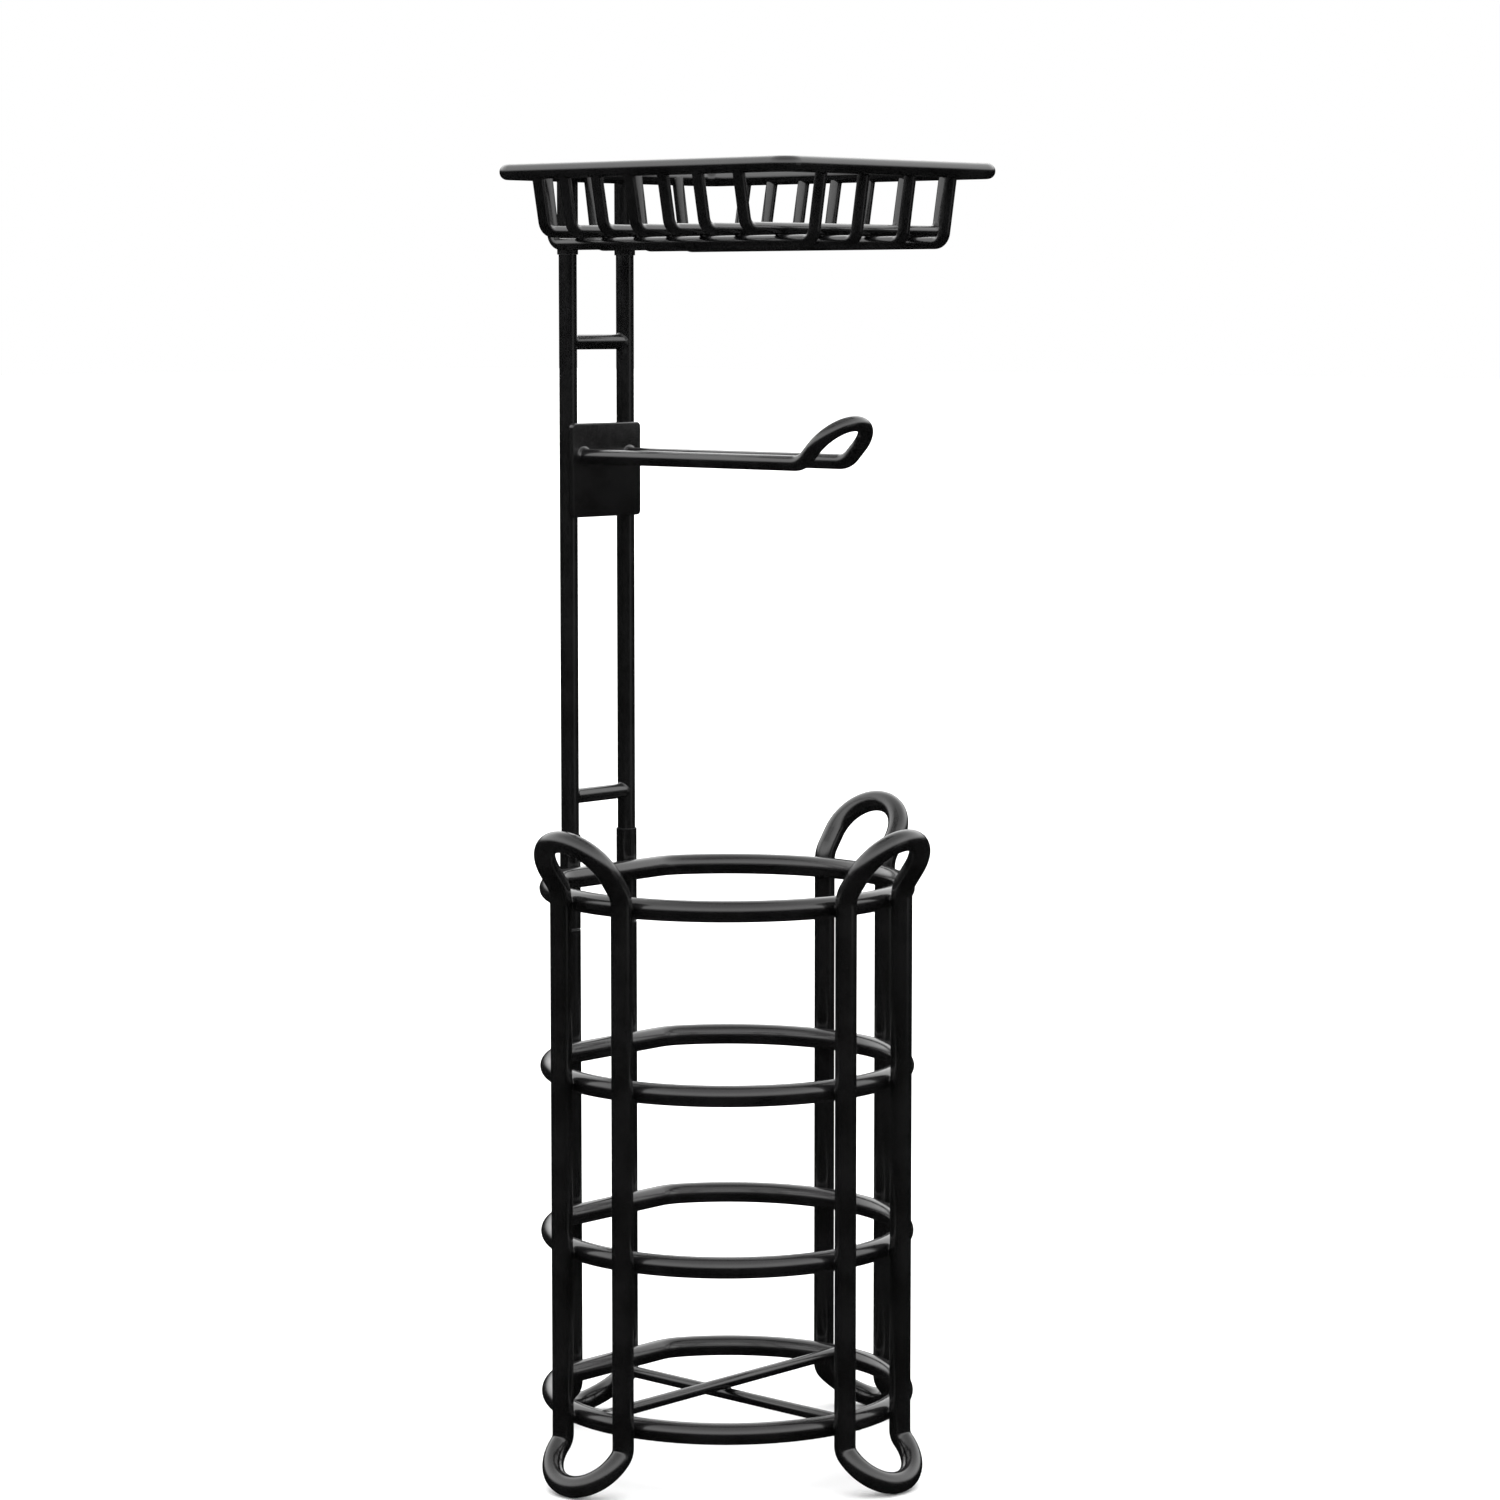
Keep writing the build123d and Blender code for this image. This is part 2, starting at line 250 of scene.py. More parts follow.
@dataclass(frozen=True)
class Enamel:
    """Gloss black stove enamel on steel, as sprayed on one sub-assembly.

    The coat has a faint orange peel, pools a little thicker in places, carries fine dust caught while
    it was wet, and has thinned to a dull grey along its sharp edges. The batch shifts all the noise, so
    that no two sub-assemblies match.
    """

    name: str
    batch: float
    rubs: tuple[Rub, ...] = ()
    deep: Colour = (0.0018, 0.0018, 0.0019)
    thin: Colour = (0.0040, 0.0040, 0.0042)
    grey: Colour = (0.045, 0.045, 0.047)
    gloss: tuple[float, float] = (0.19, 0.27)
    dulling: float = 0.30
    pools: Cloud = Cloud(38.0, 3.0, 0.35, 0.68)
    drift: Cloud = Cloud(210.0, 4.0, 0.38, 0.60)
    dust: Cloud = Cloud(1500.0, 1.0, 0.76, 0.84)
    dust_amount: float = 0.25
    haze: Cloud = Cloud(900.0, 2.0)
    haze_range: tuple[float, float] = (0.12, 0.42)
    edge_width: float = 0.6 * MM
    edge_amount: float = 0.8
    peel: Cloud = Cloud(1.0 / (1.9 * MM), 1.5)
    peel_depth: float = 0.0045 * MM
    skin: Cloud = Cloud(2600.0, 1.0)
    skin_depth: float = 0.0006 * MM
    streaks: Cloud = Cloud(1.0, 2.0, 0.50, 0.72)
    streak_scale: Point = (900.0, 900.0, 24.0)

    def material(self) -> bpy.types.Material:
        """Mix the enamel.

        Returns:
            The material, which is shared by everything from this batch.
        """
        shader = Shader(self.name)
        where = shader.stretch(shader.place(), (1.0, 1.0, 1.0), (self.batch, 0.37 * self.batch, 0.0))
        colour = shader.blend(shader.clouds(where, self.pools), self.deep, self.thin)

        drift = shader.noise(where, self.drift)
        patchy = shader.span(drift, (self.drift.low, self.drift.high), (0.0, self.edge_amount))
        worn = shader.math("MULTIPLY", shader.edges(self.edge_width), patchy)
        marks = shader.math("ADD", worn, shader.clouds(where, self.dust, self.dust_amount))
        if self.rubs:
            marks = shader.math("ADD", marks, self.rubbed(shader, where))
        colour = shader.blend(marks, colour, self.grey)

        mist = shader.math("MULTIPLY", drift, shader.noise(where, self.haze))
        haze = shader.span(mist, self.haze_range, self.gloss)
        roughness = shader.math("ADD", haze, shader.math("MULTIPLY", marks, self.dulling))
        peel = shader.relief(shader.noise(where, self.peel), self.peel_depth)
        skin = shader.relief(shader.noise(where, self.skin), self.skin_depth, peel)
        return shader.surface(
            {
                "Base Color": colour,
                "Roughness": roughness,
                "Normal": skin,
                "IOR": 1.56,
                "Coat Weight": 0.40,
                "Coat Roughness": 0.12,
                "Coat IOR": 1.45,
            }
        )

    def rubbed(self, shader: Shader, where: Socket) -> Socket:
        """Streaks where tubes slide in their sockets.

        Args:
            shader: the material under construction.
            where: the point on the piece, shifted for this batch.

        Returns:
            How worn the enamel is, from 0 to 1.
        """
        height = shader.add("SeparateXYZ", {0: shader.place()}).outputs["Z"]
        streaks = shader.clouds(shader.stretch(where, self.streak_scale, (0.0, 0.0, 0.0)), self.streaks)
        total: Socket | float = 0.0
        for rub in self.rubs:
            soft = rub.soft_share * (rub.high - rub.low)
            rising = shader.span(height, (rub.low, rub.low + soft), (0.0, rub.amount))
            falling = shader.span(height, (rub.high - soft, rub.high), (1.0, 0.0))
            total = shader.math("ADD", total, shader.math("MULTIPLY", rising, falling))
        return shader.math("MULTIPLY", total, streaks)


@dataclass(frozen=True)
class MouldedPlastic:
    """Satin black moulded plastic with a fine spark-eroded grain and slightly shiny edges."""

    name: str
    body: Colour = (0.013, 0.013, 0.0135)
    faded: Colour = (0.022, 0.022, 0.0225)
    satin: tuple[float, float] = (0.36, 0.48)
    satin_range: tuple[float, float] = (0.25, 0.75)
    edge_width: float = 0.4 * MM
    edge_shine: float = 0.14
    cloud: Cloud = Cloud(260.0, 3.0, 0.3, 0.7)
    fading: float = 0.7
    grain: Cloud = Cloud(1.0 / (0.35 * MM), 2.0)
    grain_depth: float = 0.012 * MM

    def material(self) -> bpy.types.Material:
        """Mix the plastic.

        Returns:
            The material.
        """
        shader = Shader(self.name)
        where = shader.place()
        cloud = shader.noise(where, self.cloud)
        rubbed = shader.edges(self.edge_width)
        faded = shader.span(cloud, (self.cloud.low, self.cloud.high), (0.0, self.fading))
        colour = shader.blend(shader.math("ADD", faded, rubbed), self.body, self.faded)
        satin = shader.span(cloud, self.satin_range, self.satin)
        roughness = shader.math("SUBTRACT", satin, shader.math("MULTIPLY", rubbed, self.edge_shine))
        grain = shader.relief(shader.noise(where, self.grain), self.grain_depth)
        return shader.surface(
            {"Base Color": colour, "Roughness": roughness, "Normal": grain, "IOR": 1.46}
        )


@dataclass(frozen=True)
class StudioPaper:
    """Pale matt paper for the floor, with a barely visible mottle."""

    name: str = "studio_paper"
    light: Colour = (0.93, 0.93, 0.93)
    shade: Colour = (0.90, 0.90, 0.90)
    mottle: Cloud = Cloud(3.0, 2.0, 0.2, 0.8)
    matt: tuple[float, float] = (0.75, 0.85)

    def material(self) -> bpy.types.Material:
        """Mix the paper.

        Returns:
            The material.
        """
        shader = Shader(self.name)
        cloud = shader.noise(shader.place(), self.mottle)
        colour = shader.blend(cloud, self.light, self.shade)
        roughness = shader.span(cloud, (self.mottle.low, self.mottle.high), self.matt)
        return shader.surface(
            {"Base Color": colour, "Roughness": roughness, "Specular IOR Level": 0.2}
        )


# ---- Stock shapes that welds run between -------------------------------------------------------


def corner_distance(past: np.ndarray) -> np.ndarray:
    """Distance outside a shape with square corners, below 0 inside it.

    Args:
        past: how far each point is past each of the shape's faces.

    Returns:
        One distance for each point.
    """
    return np.linalg.norm(np.maximum(past, 0.0), axis=-1) + np.minimum(past.max(axis=-1), 0.0)


@dataclass(frozen=True)
class Bar:
    """A straight stretch of round tube or rod, with flat ends."""

    start: Vector
    end: Vector
    radius: float

    def distance(self, points: np.ndarray) -> np.ndarray:
        """How far points are outside the bar, below 0 inside it."""
        half = (self.end - self.start).length / 2
        from_middle = points - np.array(self.start.lerp(self.end, 0.5))
        along = from_middle @ np.array((self.end - self.start).normalized())
        across = np.sqrt(np.maximum((from_middle**2).sum(axis=-1) - along**2, 0.0)) - self.radius
        return corner_distance(np.stack((across, np.abs(along) - half), axis=-1))


@dataclass(frozen=True)
class Hoop:
    """A level ring of round tube about the cage's axis."""

    height: float
    ring_radius: float
    radius: float

    def distance(self, points: np.ndarray) -> np.ndarray:
        """How far points are outside the hoop's tube, below 0 inside it."""
        out = np.hypot(points[..., 0], points[..., 1]) - self.ring_radius
        return np.hypot(out, points[..., 2] - self.height) - self.radius


@dataclass(frozen=True)
class Slab:
    """A flat plate, square to the axes."""

    low: Vector
    high: Vector

    def distance(self, points: np.ndarray) -> np.ndarray:
        """How far points are outside the plate, below 0 inside it."""
        middle, half = np.array(self.low + self.high) / 2, np.array(self.high - self.low) / 2
        return corner_distance(np.abs(points - middle) - half)


Stock = Bar | Hoop | Slab


@dataclass
class WeldBead:
    """Weld metal drawn into the gaps round one joint, then enamelled over.

    The bead's skin is where a blended distance to the joined pieces is zero. It stays a hair inside
    each piece's outer face, so that only the fillet shows from outside. Tubes count as solid here, so a
    bead also fills part of the bore behind it, as far as its reach.
    """

    joined: tuple[Stock, ...]
    centre: Vector
    reach: float
    fillet: float
    ceiling: float = math.inf
    step: float = 0.45 * MM
    sunk: float = 0.09 * MM
    spare_steps: int = 3

    def skin(self) -> tuple[np.ndarray, np.ndarray]:
        """Work out the bead's closed skin.

        Returns:
            Its points and its four-sided faces.
        """
        count = int(math.ceil(2 * self.reach / self.step)) + self.spare_steps
        axis = (np.arange(count) - (count - 1) / 2) * self.step
        grid = np.stack(np.meshgrid(axis, axis, axis, indexing="ij"), axis=-1) + np.array(self.centre)
        blended = self.joined[0].distance(grid) + self.sunk
        for piece in self.joined[1:]:
            other = piece.distance(grid) + self.sunk
            near = np.maximum(self.fillet - np.abs(blended - other), 0.0) / self.fillet
            blended = np.minimum(blended, other) - near * near * self.fillet / 4
        ball = np.linalg.norm(grid - np.array(self.centre), axis=-1) - self.reach
        top = grid[..., 2] - self.ceiling
        return close_skin(np.maximum(np.maximum(blended, ball), top), grid[0, 0, 0], self.step)


def crossed_cells(values: np.ndarray) -> tuple[np.ndarray, np.ndarray]:
    """Find where the skin passes through each cell of a block of samples.

    Args:
        values: samples on a regular block of points, below 0 inside.

    Returns:
        The sum of the crossings on each cell's edges, in steps from its corner, and their number.
    """
    inside = values < 0.0
    cells = tuple(n - 1 for n in values.shape)
    total, count = np.zeros((*cells, 3)), np.zeros(cells)
    for axis, first, second in product(range(3), (0, 1), (0, 1)):
        others = [a for a in range(3) if a != axis]
        offset = [0, 0, 0]
        offset[others[0]], offset[others[1]] = first, second
        low = tuple(slice(o, o + c) for o, c in zip(offset, cells))
        offset[axis] = 1
        high = tuple(slice(o, o + c) for o, c in zip(offset, cells))
        crosses = inside[low] != inside[high]
        gap = np.where(crosses, values[low] - values[high], 1.0)
        point = np.array(offset, float) * np.ones((*cells, 1))
        point[..., axis] = np.where(crosses, values[low] / gap, 0.0)
        total += point * crosses[..., None]
        count += crosses
    return total, count


def faces_across(inside: np.ndarray, number: np.ndarray, axis: int) -> np.ndarray:
    """Make a face round each step along an axis that goes through the skin.

    Args:
        inside: which points of the block are inside.
        number: the number of each cell's point.
        axis: the axis that the steps follow.

    Returns:
        The faces, which look outwards.
    """
    before, after = (axis + 1) % 3, (axis + 2) % 3
    low = [slice(1, -1)] * 3
    high = [slice(1, -1)] * 3
    low[axis], high[axis] = slice(0, -1), slice(1, None)
    starts, ends = inside[tuple(low)], inside[tuple(high)]
    crossing = np.argwhere(starts != ends)
    leaving = starts[tuple(crossing.T)]
    crossing[:, before] += 1
    crossing[:, after] += 1
    corners = []
    for back_before, back_after in ((1, 1), (0, 1), (0, 0), (1, 0)):
        cell = crossing.copy()
        cell[:, before] -= back_before
        cell[:, after] -= back_after
        corners.append(number[tuple(cell.T)])
    quads = np.stack(corners, axis=1)
    quads[~leaving] = quads[~leaving][:, ::-1]
    return quads


def close_skin(values: np.ndarray, corner: np.ndarray, step: float) -> tuple[np.ndarray, np.ndarray]:
    """Wrap the part of a block of samples that is below 0, with one point in each cell it crosses.

    Args:
        values: samples on a regular block of points.
        corner: the block's first point.
        step: the distance between points.

    Returns:
        The skin's points and its four-sided faces, which look outwards.
    """
    total, count = crossed_cells(values)
    used = count > 0
    number = np.full(count.shape, -1)
    number[used] = np.arange(int(used.sum()))
    points = (np.argwhere(used) + total[used] / count[used][:, None]) * step + corner
    return points, np.concatenate([faces_across(values < 0.0, number, axis) for axis in range(3)])


# ---- Building helpers --------------------------------------------------------------------------


def smooth_object(name: str, mesh: bpy.types.Mesh) -> bpy.types.Object:
    """Put a mesh into the scene with smooth shading.

    Args:
        name: the piece's name.
        mesh: its mesh, in place.

    Returns:
        The new object.
    """
    mesh.shade_smooth()
    piece = bpy.data.objects.new(name, mesh)
    bpy.context.scene.collection.objects.link(piece)
    return piece


def edged_object(name: str, shape: bmesh.types.BMesh, sharp: float) -> bpy.types.Object:
    """Put a shape into the scene with smooth shading between its sharp edges.

    Args:
        name: the piece's name.
        shape: the shape, in place, which is used up.
        sharp: the angle in degrees above which an edge is sharp.

    Returns:
        The new object.
    """
    mesh = bpy.data.meshes.new(name)
    shape.to_mesh(mesh)
    shape.free()
    piece = smooth_object(name, mesh)
    mesh.set_sharp_from_angle(angle=math.radians(sharp))
    return piece


def beads_object(name: str, beads: Iterable[WeldBead]) -> bpy.types.Object:
    """Gather weld beads into one piece.

    Args:
        name: the piece's name.
        beads: its beads.

    Returns:
        The new object.
    """
    points, faces, start = [], [], 0
    for bead in beads:
        bead_points, bead_faces = bead.skin()
        points.append(bead_points)
        faces.append(bead_faces + start)
        start += len(bead_points)
    mesh = bpy.data.meshes.new(name)
    mesh.from_pydata(np.concatenate(points).tolist(), [], np.concatenate(faces).tolist())
    mesh.validate()
    return smooth_object(name, mesh)


def lathe(
    name: str, profile: list[tuple[float, float]], axis: Vector, steps: int, sharp: float
) -> bpy.types.Object:
    """Turn a profile about an upright axis.

    Args:
        name: the piece's name.
        profile: radius and height of each point, from the bottom of the axis to its top.
        axis: a point on the axis.
        steps: how many steps make the round.
        sharp: the angle in degrees above which an edge is sharp.

    Returns:
        The new object.
    """
    shape = bmesh.new()
    angles = [2 * math.pi * i / steps for i in range(steps)]
    rings = []
    for radius, height in profile:
        ring = []
        for angle in angles if radius else [0.0]:
            place = (axis.x + radius * math.cos(angle), axis.y + radius * math.sin(angle), height)
            ring.append(shape.verts.new(place))
        rings.append(ring)
    for lower, upper in zip(rings, rings[1:]):
        for i in range(steps):
            j = (i + 1) % steps
            below = [lower[i % len(lower)], lower[j % len(lower)]]
            above = [upper[j % len(upper)], upper[i % len(upper)]]
            shape.faces.new(list(dict.fromkeys(below + above)))
    bmesh.ops.recalc_face_normals(shape, faces=shape.faces)
    return edged_object(name, shape, sharp)


def middle(node: str) -> Vector:
    """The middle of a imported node's box."""
    low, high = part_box(node)
    return (low + high) / 2


def upright(node: str, radius: float) -> Bar:
    """The bar that an upright packed tube follows, over its whole height."""
    low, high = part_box(node)
    centre = middle(node)
    return Bar(Vector((centre.x, centre.y, low.z)), Vector((centre.x, centre.y, high.z)), radius)


def overlap_reach(radius: float, fillet: float, margin: float) -> float:
    """How far a bead between two bars of one radius spreads where they touch."""
    return math.sqrt(2 * radius * fillet) + margin


def dress(node: str, finish: bpy.types.Material) -> None:
    """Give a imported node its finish."""
    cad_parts[node].material_slots[0].material = finish
    LOG.info("dressed %s in %s", node, finish.name)


def settle(
    piece: bpy.types.Object, body: str, finish: bpy.types.Material
) -> bpy.types.Object:
    """Finish a new piece and set it on its body.

    Args:
        piece: the piece, in place.
        body: the body that it moves with.
        finish: its material.

    Returns:
        The same piece.
    """
    piece.data.materials.append(finish)
    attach(piece, body)
    LOG.info("built %s on %s: %d faces", piece.name, body, len(piece.data.polygons))
    return piece


# ---- Sub-assemblies ----------------------------------------------------------------------------


@dataclass
class Cage:
    """The round cage that keeps spare rolls: rings, hairpin legs, back posts and floor bars."""

    tube: float = 5.55 * MM
    bar: float = 3.1 * MM
    fillet: float = 1.9 * MM
    bar_fillet: float = 1.4 * MM
    bar_reach: float = 5.2 * MM
    reach_margin: float = 0.4 * MM
    bar_end_share: float = 0.8
    leg_foot: float = 20 * MM
    leg_head: float = 30 * MM
    post_foot: float = 30 * MM
    flat_half: float = 50 * MM
    body: str = "base"
    rings: tuple[str, ...] = ("ring_bottom", "ring_lower", "ring_upper", "ring_top")
    hairpins: tuple[str, ...] = ("front_hairpin", "left_hairpin", "right_hairpin")
    bars: tuple[str, ...] = ("floor_bar_across", "floor_bar_along")
    enamel: Enamel = Enamel("cage_stove_enamel", 0.0)

    def build(self) -> None:
        """Dress the cage and weld it."""
        finish = self.enamel.material()
        for node in (*self.rings, *self.hairpins, "back_posts", *self.bars):
            dress(node, finish)
        for ring in self.rings:
            beads = [*self.leg_beads(ring), *self.post_beads(ring)]
            settle(beads_object(f"{ring}_welds", beads), self.body, finish)
        settle(beads_object("floor_bar_welds", self.bar_beads()), self.body, finish)

    def round_stretch(self, ring: str) -> Hoop:
        """The round stretch of a ring."""
        low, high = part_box(ring)
        return Hoop(middle(ring).z, (high.x - low.x) / 2 - self.tube, self.tube)

    def back_place(self, ring: str) -> float:
        """How far back the flat stretch of a ring lies."""
        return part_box(ring)[1].y - self.tube

    def flat_stretch(self, ring: str) -> Bar:
        """The straight stretch across the back of a ring."""
        half, back, height = self.flat_half, self.back_place(ring), middle(ring).z
        return Bar(Vector((-half, back, height)), Vector((half, back, height)), self.tube)

    def legs(self) -> list[Bar]:
        """The upright legs of the three hairpins, clear of their bends."""
        found = []
        for node in self.hairpins:
            low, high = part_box(node)
            centre = (low + high) / 2
            if abs(centre.x) < abs(centre.y):
                inner = high.y if centre.y < 0 else low.y
                out = inner + math.copysign(self.tube, centre.y)
                places = [(x, out) for x in (low.x + self.tube, high.x - self.tube)]
            else:
                inner = high.x if centre.x < 0 else low.x
                out = inner + math.copysign(self.tube, centre.x)
                places = [(out, y) for y in (low.y + self.tube, high.y - self.tube)]
            top = high.z - self.leg_head
            for x, y in places:
                found.append(Bar(Vector((x, y, self.leg_foot)), Vector((x, y, top)), self.tube))
        return found

    def leg_beads(self, ring: str) -> list[WeldBead]:
        """Beads between one ring and the legs that stand against it."""
        hoop = self.round_stretch(ring)
        reach = overlap_reach(self.tube, self.fillet, self.reach_margin)
        beads = []
        for leg in self.legs():
            outward = Vector((leg.start.x, leg.start.y, 0)).normalized()
            touch = outward * (hoop.ring_radius + self.tube) + Vector((0, 0, hoop.height))
            beads.append(WeldBead((hoop, leg), touch, reach, self.fillet))
        return beads

    def post_beads(self, ring: str) -> list[WeldBead]:
        """Beads between the flat back of one ring and the two back posts."""
        flat, back = self.flat_stretch(ring), self.back_place(ring)
        post_low, post_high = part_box("back_posts")
        reach = overlap_reach(self.tube, self.fillet, self.reach_margin)
        out = back + 2 * self.tube
        beads = []
        for across in (post_low.x + self.tube, post_high.x - self.tube):
            post = Bar(Vector((across, out, self.post_foot)), Vector((across, out, post_high.z)), self.tube)
            touch = Vector((across, back + self.tube, middle(ring).z))
            beads.append(WeldBead((flat, post), touch, reach, self.fillet))
        return beads

    def bar_beads(self) -> list[WeldBead]:
        """Beads at the ends of the floor bars and where they cross."""
        hoop, flat = self.round_stretch("ring_bottom"), self.flat_stretch("ring_bottom")
        out, behind = hoop.ring_radius, self.back_place("ring_bottom")
        high, low = hoop.height + self.bar, hoop.height - self.bar
        across = Bar(Vector((-out, 0, high)), Vector((out, 0, high)), self.bar)
        along = Bar(Vector((0, -out, low)), Vector((0, behind, low)), self.bar)
        crossing_reach = overlap_reach(self.bar, self.bar_fillet, self.reach_margin)
        end = out - self.bar_end_share * self.tube
        back = behind - self.bar_end_share * self.tube
        return [
            WeldBead((across, along), Vector((0, 0, hoop.height)), crossing_reach, self.bar_fillet),
            WeldBead((hoop, across), Vector((-end, 0, high)), self.bar_reach, self.bar_fillet),
            WeldBead((hoop, across), Vector((end, 0, high)), self.bar_reach, self.bar_fillet),
            WeldBead((hoop, along), Vector((0, -end, low)), self.bar_reach, self.bar_fillet),
            WeldBead((flat, along), Vector((0, back, low)), self.bar_reach, self.bar_fillet),
        ]


@dataclass
class Mast:
    """The two-tube mast with its crossbars, the arm plate and the roll arm."""

    tube: float = 4.8 * MM
    rod: float = 4.0 * MM
    fillet: float = 1.3 * MM
    crossbar_reach: float = 5.6 * MM
    arm_fillet: float = 2.4 * MM
    arm_reach: float = 6.2 * MM
    arm_stretch: float = 60 * MM
    arm_root: float = 1 * MM
    stitch_inset: float = 9 * MM
    stitch_fillet: float = 1.2 * MM
    stitch_reach: float = 4.0 * MM
    plate_corner: float = 2.5 * MM
    plate_corner_steps: int = 8
    plate_round: float = 0.7 * MM
    plate_round_steps: int = 4
    sharp: float = 35.0
    body: str = "mast"
    crossbars: tuple[str, ...] = ("lower_crossbar", "upper_crossbar")
    enamel: Enamel = Enamel(
        "mast_stove_enamel", 3.1, (Rub(0.270, 0.331, 0.55), Rub(0.628, 0.672, 0.45))
    )

    def build(self) -> None:
        """Dress the mast, build its plate and weld it."""
        finish = self.enamel.material()
        for node in ("mast_tube_left", "mast_tube_right", *self.crossbars, "roll_arm"):
            dress(node, finish)
        plate = settle(self.plate(), self.body, finish)
        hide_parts("arm_plate")
        settle(beads_object("crossbar_welds", self.crossbar_beads()), self.body, finish)
        settle(beads_object("arm_welds", self.arm_beads()), self.body, finish)
        settle(beads_object("plate_welds", self.plate_beads()), self.body, finish)

    def tubes(self) -> list[Bar]:
        """The two mast tubes, left and right."""
        return [upright(f"mast_tube_{side.value}", self.tube) for side in Side]

    def plate_outline(self) -> list[tuple[float, float]]:
        """The arm plate's outline, as places across and up."""
        low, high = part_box("arm_plate")
        outline = []
        for right, up, first in ((1, 1, 0), (-1, 1, 90), (-1, -1, 180), (1, -1, 270)):
            hub_x = (high.x if right > 0 else low.x) - right * self.plate_corner
            hub_z = (high.z if up > 0 else low.z) - up * self.plate_corner
            for turn in range(self.plate_corner_steps + 1):
                angle = math.radians(first + 90 * turn / self.plate_corner_steps)
                out, rise = self.plate_corner * math.cos(angle), self.plate_corner * math.sin(angle)
                outline.append((hub_x + out, hub_z + rise))
        return outline

    def plate(self) -> bpy.types.Object:
        """Build the arm plate: sheared from flat bar, with rounded corners and broken edges.

        Returns:
            The plate, in place.
        """
        low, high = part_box("arm_plate")
        outline = self.plate_outline()
        shape = bmesh.new()
        front = [shape.verts.new((x, low.y, z)) for x, z in outline]
        back = [shape.verts.new((x, high.y, z)) for x, z in outline]
        shape.faces.new(front)
        shape.faces.new(back[::-1])
        for i in range(len(outline)):
            j = (i + 1) % len(outline)
            shape.faces.new((front[i], back[i], back[j], front[j]))
        bmesh.ops.recalc_face_normals(shape, faces=shape.faces)
        rims = [e for e in shape.edges if (e.verts[0] in front) == (e.verts[1] in front)]
        steps = self.plate_round_steps
        bmesh.ops.bevel(
            shape, geom=rims, offset=self.plate_round, segments=steps, profile=0.5, affect="EDGES"
        )
        return edged_object("arm_plate_rounded", shape, self.sharp)

    def crossbar_beads(self) -> list[WeldBead]:
        """Beads at both ends of each crossbar."""
        left, right = self.tubes()
        beads = []
        for node in self.crossbars:
            height = middle(node).z
            ends = [Vector((tube.start.x, tube.start.y, height)) for tube in (left, right)]
            bar = Bar(*ends, self.rod)
            for tube, end, inward in ((left, ends[0], 1), (right, ends[1], -1)):
                joint = end + Vector((inward * self.tube, 0, 0))
                beads.append(WeldBead((tube, bar), joint, self.crossbar_reach, self.fillet))
        return beads

    def arm_beads(self) -> list[WeldBead]:
        """Beads round the roots of the roll arm, on the plate's face."""
        arm_low, arm_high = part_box("roll_arm")
        low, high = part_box("arm_plate")
        slab = Slab(low, high)
        beads = []
        for across in (arm_low.x + self.rod, arm_high.x - self.rod):
            root = Vector((across, low.y, arm_low.z + self.rod))
            out, back = Vector((0, -self.arm_stretch, 0)), Vector((0, self.arm_root, 0))
            leg = Bar(root + out, root + back, self.rod)
            beads.append(WeldBead((slab, leg), root, self.arm_reach, self.arm_fillet))
        return beads

    def plate_beads(self) -> list[WeldBead]:
        """Short stitch beads between the plate's back and the mast tubes."""
        low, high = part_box("arm_plate")
        slab = Slab(low, high)
        beads = []
        for tube in self.tubes():
            for height in (low.z + self.stitch_inset, (low.z + high.z) / 2, high.z - self.stitch_inset):
                joint = Vector((tube.start.x, high.y, height))
                beads.append(WeldBead((slab, tube), joint, self.stitch_reach, self.stitch_fillet))
        return beads


@dataclass(frozen=True)
class SleeveCap:
    """A moulded plug for a sleeve's top: a stem, a thin lip, a domed head and a gate dimple on top."""

    stem_inset: float = 0.75 * MM
    stem_chamfer: float = 0.4 * MM
    lip: tuple[tuple[float, float], ...] = ((0.35 * MM, 0.0), (0.1 * MM, 0.12 * MM), (0.0, 0.3 * MM))
    shoulder: float = 1.2 * MM
    shoulder_steps: int = 8
    shoulder_drop: float = 0.42 * MM
    dimple: tuple[tuple[float, float], ...] = (
        (2.6 * MM, 0.03 * MM),
        (1.5 * MM, 0.0),
        (0.9 * MM, 0.02 * MM),
        (0.6 * MM, 0.25 * MM),
        (0.0, 0.3 * MM),
    )
    round_steps: int = 48
    sharp: float = 40.0

    def turn(self, side: Side, sleeve_top: float) -> bpy.types.Object:
        """Turn the cap.

        Args:
            side: which sleeve it closes.
            sleeve_top: the height of that sleeve's top.

        Returns:
            The cap, in place.
        """
        node = f"sleeve_cap_{side.value}"
        low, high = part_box(node)
        head = (high.x - low.x) / 2
        stem = head - self.stem_inset
        profile = [
            (0.0, low.z),
            (stem - self.stem_chamfer, low.z),
            (stem, low.z + self.stem_chamfer),
            (stem, sleeve_top),
        ]
        profile += [(head - inset, sleeve_top + rise) for inset, rise in self.lip]
        lip_top, climb = profile[-1][1], high.z - sleeve_top - self.shoulder_drop
        for step in range(1, self.shoulder_steps + 1):
            angle = math.radians(90 * step / self.shoulder_steps)
            inset = self.shoulder * (1 - math.cos(angle))
            profile.append((head - inset, lip_top + climb * math.sin(angle)))
        profile += [(radius, high.z - drop) for radius, drop in self.dimple]
        return lathe(f"{node}_turned", profile, middle(node), self.round_steps, self.sharp)


